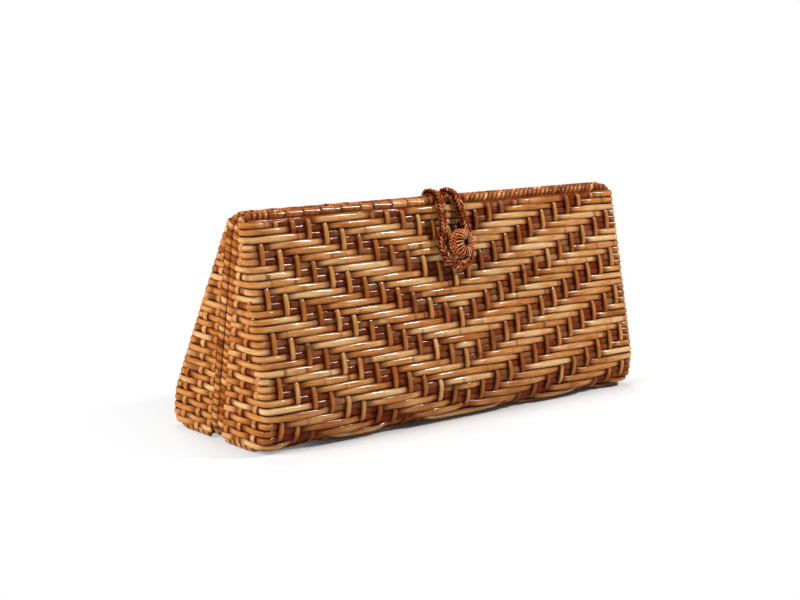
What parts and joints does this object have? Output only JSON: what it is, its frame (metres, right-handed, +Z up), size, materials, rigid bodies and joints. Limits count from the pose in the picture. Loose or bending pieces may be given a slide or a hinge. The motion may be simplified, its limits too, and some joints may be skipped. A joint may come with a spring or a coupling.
{
  "type": "woven clamshell clutch bag",
  "caption": "Rattan clamshell clutch: two twill-woven basket halves lashed along the base, closed by a braided loop over a knotted button.",
  "frame": {"origin": "centre of the bounding box, at the base that stands on the table", "axes": "+X along the bag's length, -Y out of the front face with the button, +Z up"},
  "size_m": [0.292, 0.068, 0.1164],
  "materials": {
    "woven_cane": "varnished split rattan",
    "binding_cane": "varnished flat cane",
    "rim_cane": "varnished round cane",
    "braided_cane": "varnished fine cane"
  },
  "bodies": {
    "back_half": {"back_shell": "woven_cane", "back_rim": "rim_cane", "back_rim_binding": "binding_cane", "hinge_lashing_left": "binding_cane", "hinge_lashing_mid_left": "binding_cane", "hinge_lashing_middle": "binding_cane", "hinge_lashing_mid_right": "binding_cane", "hinge_lashing_right": "binding_cane"},
    "front_half": {"front_shell": "woven_cane", "front_rim": "rim_cane", "front_rim_binding": "binding_cane", "button": "braided_cane", "button_shank": "rim_cane", "button_stop": "rim_cane"},
    "closure_loop": {"closure_loop": "braided_cane", "loop_eye_left": "braided_cane", "loop_eye_right": "braided_cane"}
  },
  "joints": [
    {"name": "front_hinge", "type": "hinge", "parent": "back_half", "child": "front_half", "pos_m": [0, -0.00225, 0.0032], "axis": [1, 0, 0], "range_deg": [0, 90]},
    {"name": "loop_lift", "type": "hinge", "parent": "back_half", "child": "closure_loop", "pos_m": [0, 0.00225, 0.1099], "axis": [-1, 0, 0], "range_deg": [0, 115]}
  ]
}
